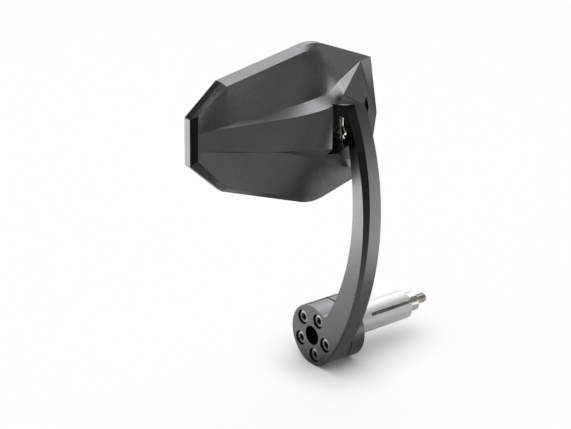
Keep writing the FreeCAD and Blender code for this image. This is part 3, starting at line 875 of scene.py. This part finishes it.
@dataclass(frozen=True)
class ScrewSize:
    """Sizes of one kind of socket head screw, in millimetres where no other unit is named.

    Attributes:
        head_height: Height of the head.
        head_radius: Radius of the head.
        shank_radius: Radius of the shank.
        key_width: Width of the hexagon across its flats.
        key_depth: Depth of the hexagon.
        pitch: Pitch of the thread.
        drill_share: Radius of the drilled end, as a share of the key's width.
        drill_cone: Depth of the drilled cone, as a share of the drilled radius.
        drill_point: Radius of the cone's end, as a share of the drilled radius.
        drill_step: Height from the drilled end to the hexagon.
        mouth_depth: Depth of the countersunk mouth.
        mouth_flare: Distance from the hexagon's corners to the mouth's edge.
        chamfer: Size of the chamfer around the head's top.
        chamfer_bulge: Place of the chamfer's middle point, as shares of its height and its width.
        edge_break: Distance by which the head's two edges stand inside its side.
        knurl: Depth of the knurl.
        knurl_top: Height from the chamfer to the knurl.
        knurl_foot: Height from the knurl to the head's underside.
        foot_height: Height of the slope around the head's underside.
        foot_break: Width of that slope.
        run_in: Length of plain shank that is drawn before the thread.
        thread_depth: Depth of the thread.
        flank_slope: Steepness of the thread's flank.
        crest: Part of the flank's height that stays flat as the crest.
        turn_slices: Slices in one turn of the thread.
        tip_break: Size of the chamfer at the shank's tip.
        tip_step: Distance by which the last ring stands inside the chamfer.
    """

    head_height: float
    head_radius: float
    shank_radius: float
    key_width: float
    key_depth: float
    pitch: float
    drill_share: float = 0.4
    drill_cone: float = 0.35
    drill_point: float = 0.2
    drill_step: float = 0.05
    mouth_depth: float = 0.42
    mouth_flare: float = 0.25
    chamfer: float = 0.75
    chamfer_bulge: Span = (0.35, 0.3)
    edge_break: float = 0.02
    knurl: float = 0.05
    knurl_top: float = 0.15
    knurl_foot: float = 0.35
    foot_height: float = 0.2
    foot_break: float = 0.2
    run_in: float = 0.2
    thread_depth: float = 0.28
    flank_slope: float = 1.3
    crest: float = 0.12
    turn_slices: int = 8
    tip_break: float = 0.6
    tip_step: float = 0.05


@dataclass
class SocketScrew:
    """A socket head screw along the clamp axis, with its hexagon, knurl and thread, in millimetres.

    Attributes:
        name: Name of the piece.
        node: CAD node that it replaces.
        body: CAD body that it rides on.
        slot: Slot of its finish.
        size: Sizes of its kind.
        centre: Place of its axis as (x, z).
        top: Position of the head's top along the axis.
        tip: Position of the shank's end along the axis.
        thread_start: Position along the axis where the thread starts.
        points: Points of each ring.
    """

    name: str
    node: str
    body: str
    slot: Slot
    size: ScrewSize
    centre: Span
    top: float
    tip: float
    thread_start: float
    points: int = 48

    def ring(self, along: float, radius: Callable[[float], float]) -> Ring:
        """Make one ring of points around the axis.

        Args:
            along: Position along the axis.
            radius: Radius for each angle.

        Returns:
            The ring.
        """
        middle_x, middle_z = self.centre
        ring = []
        for step in range(self.points):
            angle = math.tau * step / self.points
            reach = radius(angle)
            ring.append(Vector((middle_x + reach * math.cos(angle), along,
                                middle_z + reach * math.sin(angle))))
        return ring

    def round_ring(self, along: float, radius: float) -> Ring:
        """Return a plain round ring."""
        return self.ring(along, lambda angle: radius)

    def hexagon(self, angle: float) -> float:
        """Return the distance from the axis to the hexagon's side."""
        turn = (angle + math.pi / 6) % (math.pi / 3) - math.pi / 6
        return self.size.key_width / 2 / math.cos(turn)

    def knurled(self, angle: float) -> float:
        """Return the head's radius where its side is knurled."""
        step = round(angle / math.tau * self.points)
        return self.size.head_radius - (self.size.knurl if step % 2 else 0.0)

    def socket_rings(self) -> list[Ring]:
        """Make the drilled end, the hexagon and its mouth.

        Returns:
            Rings from the bottom of the socket to the head's top.
        """
        size = self.size
        drilled = size.key_width * size.drill_share
        bottom = self.top + size.key_depth
        return [
            self.round_ring(bottom + drilled * size.drill_cone, drilled * size.drill_point),
            self.round_ring(bottom, drilled),
            self.ring(bottom - size.drill_step, self.hexagon),
            self.ring(self.top + size.mouth_depth, self.hexagon),
        ]

    def head_rings(self) -> list[Ring]:
        """Make the head's top, chamfer, knurled side and underside.

        Returns:
            Rings from the head's top to its seat.
        """
        size = self.size
        seat = self.top + size.head_height
        side = size.head_radius - size.edge_break
        bulge_down, bulge_in = size.chamfer_bulge
        return [
            self.round_ring(self.top, size.key_width / math.sqrt(3) + size.mouth_flare),
            self.round_ring(self.top, size.head_radius - size.chamfer),
            self.round_ring(self.top + size.chamfer * bulge_down,
                            size.head_radius - size.chamfer * bulge_in),
            self.round_ring(self.top + size.chamfer, side),
            self.ring(self.top + size.chamfer + size.knurl_top, self.knurled),
            self.ring(seat - size.knurl_foot, self.knurled),
            self.round_ring(seat - size.foot_height, side),
            self.round_ring(seat, size.head_radius - size.foot_break),
            self.round_ring(seat, size.shank_radius),
        ]

    def shank_rings(self) -> list[Ring]:
        """Make the shank with its helical thread and the broken tip.

        Returns:
            Rings from the head's seat to the tip.
        """
        size = self.size
        rings = [self.round_ring(self.thread_start - size.run_in, size.shank_radius)]
        steps = math.ceil((self.tip - self.thread_start) / (size.pitch / size.turn_slices))
        for step in range(steps):
            along = self.thread_start + (self.tip - self.thread_start) * step / steps
            rings.append(self.ring(along, self.thread_radius(along)))
        rings.append(self.round_ring(self.tip, size.shank_radius - size.tip_break - size.tip_step))
        return rings

    def thread_radius(self, along: float) -> Callable[[float], float]:
        """Give the thread's radius for each angle at one position.

        Args:
            along: Position along the axis.

        Returns:
            Function from the angle to the radius.
        """
        size = self.size
        fade_in = min(1.0, (along - self.thread_start) / size.pitch)
        tip_limit = size.shank_radius - max(0.0, size.tip_break - (self.tip - along))

        def radius(angle: float) -> float:
            """Return the radius of the thread's flank."""
            turn = (along / size.pitch + angle / math.tau) % 1.0
            flank = abs(turn * 2.0 - 1.0)
            depth = size.thread_depth * fade_in * min(1.0, max(0.0, flank * size.flank_slope - size.crest))
            return min(size.shank_radius - depth, tip_limit)

        return radius

    def build(self) -> Object:
        """Build the screw in place of its CAD node.

        Returns:
            The screw.
        """
        rings = self.socket_rings() + self.head_rings() + self.shank_rings()
        screw = mesh_from_rings(self.name, rings)
        finish_piece(screw, self.body, self.slot)
        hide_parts(self.node)
        return screw


def middle_of(node: str) -> Span:
    """Find the axis of a round node that runs along the clamp axis.

    Args:
        node: Name of the CAD node.

    Returns:
        The axis as (x, z) in millimetres.
    """
    low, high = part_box(node)
    return ((low[0] + high[0]) / 2 / MILLIMETRE, (low[2] + high[2]) / 2 / MILLIMETRE)


def reach_of(node: str) -> Span:
    """Find where a node starts and ends along the clamp axis.

    Args:
        node: Name of the CAD node.

    Returns:
        Lowest and highest Y in millimetres.
    """
    low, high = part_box(node)
    return (low[1] / MILLIMETRE, high[1] / MILLIMETRE)


@dataclass
class ClampHardware:
    """The screws of the hub and the bolt of the expanding plug.

    Attributes:
        screw_count: Number of screws around the hub.
        screw_size: Sizes of a hub screw.
        screw_plain: Length of a hub screw's plain shank in millimetres.
        bolt_size: Sizes of the bolt.
        bolt_thread_start: Position along the clamp axis where the bolt's thread starts, in millimetres.
    """

    screw_count: int = 5
    screw_size: ScrewSize = ScrewSize(head_height=4.0, head_radius=3.45, shank_radius=2.0, key_width=3.0,
                                      key_depth=2.2, pitch=0.7)
    screw_plain: float = 2.0
    bolt_size: ScrewSize = ScrewSize(head_height=5.0, head_radius=4.25, shank_radius=2.5, key_width=4.0,
                                     key_depth=2.6, pitch=0.8)
    bolt_thread_start: float = 26.0

    def hub_screw(self, number: int) -> SocketScrew:
        """Fit one hub screw to its CAD node.

        Args:
            number: Number of the screw, from 1.

        Returns:
            The screw, not built yet.
        """
        node = "arm_screw_%d" % number
        top, tip = reach_of(node)
        thread_start = top + self.screw_size.head_height + self.screw_plain
        return SocketScrew("hub_screw_%d" % number, node, "arm_side", Slot.BLACK_STEEL, self.screw_size,
                           middle_of(node), top, tip, thread_start)

    def plug_bolt(self) -> SocketScrew:
        """Fit the bolt to its CAD node.

        Returns:
            The bolt, not built yet.
        """
        node = "expander_bolt"
        top, tip = reach_of(node)
        return SocketScrew("plug_bolt", node, "expander", Slot.NICKEL_PLATED, self.bolt_size,
                           middle_of(node), top, tip, self.bolt_thread_start)

    def build(self) -> list[Object]:
        """Build all screws of the clamp.

        Returns:
            The screws.
        """
        screws = [self.hub_screw(number) for number in range(1, self.screw_count + 1)]
        return [screw.build() for screw in (*screws, self.plug_bolt())]


@dataclass
class CarriedPieces:
    """The CAD nodes that show as they are, with their finish and broken edges.

    Attributes:
        broken_edges: Nodes with broken edges and the width of their edges in millimetres.
    """

    broken_edges: tuple[tuple[str, float], ...] = (
        ("arm", 0.3), ("bar_end_drum", 0.2), ("plug_sleeve", 0.15), ("expander_cone", 0.15),
        ("mirror_housing", 0.2), ("mirror_glass", 0.2), ("retainer_ring", 0.12), ("ball_stud", 0.15))

    def dress(self) -> list[str]:
        """Give every CAD node its finish, and round the edges that show.

        Returns:
            Names of the nodes.
        """
        names = []
        for part in frame["record"]["subparts"]:
            node = part["node"]
            piece = frame["nodes"][node]
            piece.data.materials.clear()
            piece.data.materials.append(FINISHES[Slot(part["material_slot"])].material())
            names.append(node)
        for node, width in self.broken_edges:
            SoftEdges(width).dress(node)
        return names


@dataclass(frozen=True)
class SoftLamp:
    """A square soft lamp that points at the mirror.

    Attributes:
        name: Name of the lamp.
        place: Place in metres.
        size: Length of a side in metres.
        power: Power in watts.
    """

    name: str
    place: Place
    size: float
    power: float


@dataclass
class Studio:
    """The floor, the world, the lamps and the camera.

    Attributes:
        floor_height: Height of the floor in millimetres.
        floor_gap: Distance in millimetres that keeps the floor clear of the mirror.
        floor_reach: Distance from the middle of the floor to its edges in metres.
        paper_level: Brightness of the floor's paper.
        paper_glow: Share of the even glow where the floor is seen directly.
        middle: Middle of the mirror in millimetres, from which the room's directions are taken.
        white_level: Brightness of the background in the picture.
        shadow_level: Brightness of the painted shadow on the floor where the mirror covers it most.
        shadow_reach: Distance in millimetres up to which the mirror's painted shadow darkens the floor.
        shadow_span: Openness of the floor where the painted shadow is full and where it has faded out.
        shadow_samples: Samples of the openness.
        lamps: Lamps around the mirror.
        camera_place: Place of the camera in millimetres.
        camera_tilt: Turn of the camera from looking straight down, in degrees.
        camera_turn: Turn of the camera around the upright axis, in degrees.
        focal_length: Focal length in millimetres.
        sensor_width: Width of the sensor in millimetres.
        clip_start: Smallest distance in metres that the camera sees.
    """

    floor_height: float = -16.0
    floor_gap: float = 0.02
    floor_reach: float = 6.0
    paper_level: float = 0.85
    paper_glow: float = 0.9
    middle: Place = (10.0, -30.0, 100.0)
    white_level: float = 1.02
    shadow_level: float = 0.12
    shadow_reach: float = 32.0
    shadow_span: Span = (0.2, 0.95)
    shadow_samples: int = 16
    lamps: tuple[SoftLamp, ...] = (
        SoftLamp("overhead_soft_lamp", (-0.29, 0.22, 1.02), 0.7, 1.2),
        SoftLamp("left_soft_lamp", (-0.80, -0.50, 0.18), 0.5, 0.4))
    camera_place: Place = (529.1, -438.2, 337.3)
    camera_tilt: float = 68.0
    camera_turn: float = 52.9
    focal_length: float = 94.57
    sensor_width: float = 36.0
    clip_start: float = 0.01

    def seen_directly(self, graph: Graph) -> NodeSocket:
        """Tell where a ray comes straight from the camera or through glass.

        Args:
            graph: Graph of a material or of the world.

        Returns:
            Output socket of the share.
        """
        path = graph.add("ShaderNodeLightPath")
        return graph.maths("MAXIMUM", path.outputs["Is Camera Ray"], path.outputs["Is Transmission Ray"])

    def floor(self) -> Object:
        """Build a wide pale floor that keeps the object's shadow, partly real on the paper and partly painted
        into its glow.

        Returns:
            The floor.
        """
        reach = self.floor_reach
        level = (self.floor_height - self.floor_gap) * MILLIMETRE
        mesh = bpy.data.meshes.new("floor")
        corners = [(x * reach, y * reach, level) for x, y in ((-1, -1), (1, -1), (1, 1), (-1, 1))]
        mesh.from_pydata(corners, [], [(0, 1, 2, 3)])
        floor = bpy.data.objects.new("floor", mesh)
        bpy.context.scene.collection.objects.link(floor)
        floor.data.materials.append(self.floor_material())
        return floor

    def floor_material(self) -> Material:
        """Make white paper that shiny surfaces see as part of the room.

        Returns:
            The material.
        """
        made = bpy.data.materials.new("floor_paper")
        made.use_nodes = True
        graph = Graph(made.node_tree)
        made.node_tree.nodes.remove(made.node_tree.nodes["Principled BSDF"])
        output = made.node_tree.nodes["Material Output"]
        outwards = graph.add("ShaderNodeVectorMath", operation="SUBTRACT")
        graph.feed(outwards.inputs[0], graph.add("ShaderNodeTexCoord").outputs["Object"])
        outwards.inputs[1].default_value = Vector(self.middle) * MILLIMETRE
        room = ROOM.place(graph, Direction=outwards.outputs[0])["Level"]
        # Painted shadow: the glow that the camera sees is darkened where the mirror closes the floor in, on
        # top of the real shadow that the paper catches
        openness = graph.add("ShaderNodeAmbientOcclusion", samples=self.shadow_samples)
        openness.inputs["Distance"].default_value = self.shadow_reach * MILLIMETRE
        shaded = graph.spread(openness.outputs["AO"], *self.shadow_span, self.shadow_level, self.white_level)
        seen = self.seen_directly(graph)
        glow = graph.add("ShaderNodeEmission")
        graph.feed(glow.inputs["Strength"], graph.spread(seen, 0.0, 1.0, room, shaded))
        paper = graph.add("ShaderNodeBsdfDiffuse")
        paper.inputs["Color"].default_value = (self.paper_level, self.paper_level, self.paper_level, 1.0)
        glossy = graph.add("ShaderNodeLightPath").outputs["Is Glossy Ray"]
        even = graph.maths("MULTIPLY", seen, self.paper_glow)
        mixed = graph.add("ShaderNodeMixShader")
        graph.feed(mixed.inputs["Fac"], graph.maths("MAXIMUM", glossy, even))
        graph.feed(mixed.inputs[1], paper.outputs["BSDF"])
        graph.feed(mixed.inputs[2], glow.outputs["Emission"])
        graph.feed(output.inputs["Surface"], mixed.outputs["Shader"])
        return made

    def world(self) -> None:
        """Make a white surrounding for the camera and the soft room for the object."""
        world = bpy.data.worlds.new("studio")
        bpy.context.scene.world = world
        world.use_nodes = True
        graph = Graph(world.node_tree)
        surface = world.node_tree.nodes["Background"]
        surface.inputs["Color"].default_value = (1.0, 1.0, 1.0, 1.0)
        way = graph.add("ShaderNodeTexCoord").outputs["Generated"]
        room = ROOM.place(graph, Direction=way)["Level"]
        seen = self.seen_directly(graph)
        graph.feed(surface.inputs["Strength"], graph.spread(seen, 0.0, 1.0, room, self.white_level))

    def lamp(self, lamp: SoftLamp) -> None:
        """Add a lamp that points at the mirror.

        Args:
            lamp: The lamp's name, place, size and power.
        """
        data = bpy.data.lights.new(lamp.name, "AREA")
        data.shape = "SQUARE"
        data.size = lamp.size
        data.energy = lamp.power
        made = bpy.data.objects.new(lamp.name, data)
        bpy.context.scene.collection.objects.link(made)
        made.location = lamp.place
        aim = Vector(self.middle) * MILLIMETRE - Vector(lamp.place)
        made.rotation_euler = aim.to_track_quat("-Z", "Y").to_euler()

    def camera(self) -> None:
        """Place the camera at the photograph's angle."""
        data = bpy.data.cameras.new("camera")
        data.sensor_width = self.sensor_width
        data.lens = self.focal_length
        data.clip_start = self.clip_start
        camera = bpy.data.objects.new("camera", data)
        bpy.context.scene.collection.objects.link(camera)
        camera.location = Vector(self.camera_place) * MILLIMETRE
        camera.rotation_euler = (math.radians(self.camera_tilt), 0.0, math.radians(self.camera_turn))
        bpy.context.scene.camera = camera

    def build(self) -> None:
        """Build the whole studio."""
        self.floor()
        self.world()
        for lamp in self.lamps:
            self.lamp(lamp)
        self.camera()
        bpy.context.scene.view_settings.view_transform = "Standard"


def main() -> None:
    """Build every class in order and report each piece."""
    logging.basicConfig(level=logging.INFO, format="%(name)s: %(message)s")
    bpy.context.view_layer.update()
    for name in CarriedPieces().dress():
        log.info("dressed %s", name)
    for piece in ClampHardware().build():
        log.info("built %s with %d faces", piece.name, len(piece.data.polygons))
    Studio().build()


if __name__ == "__main__":
    main()
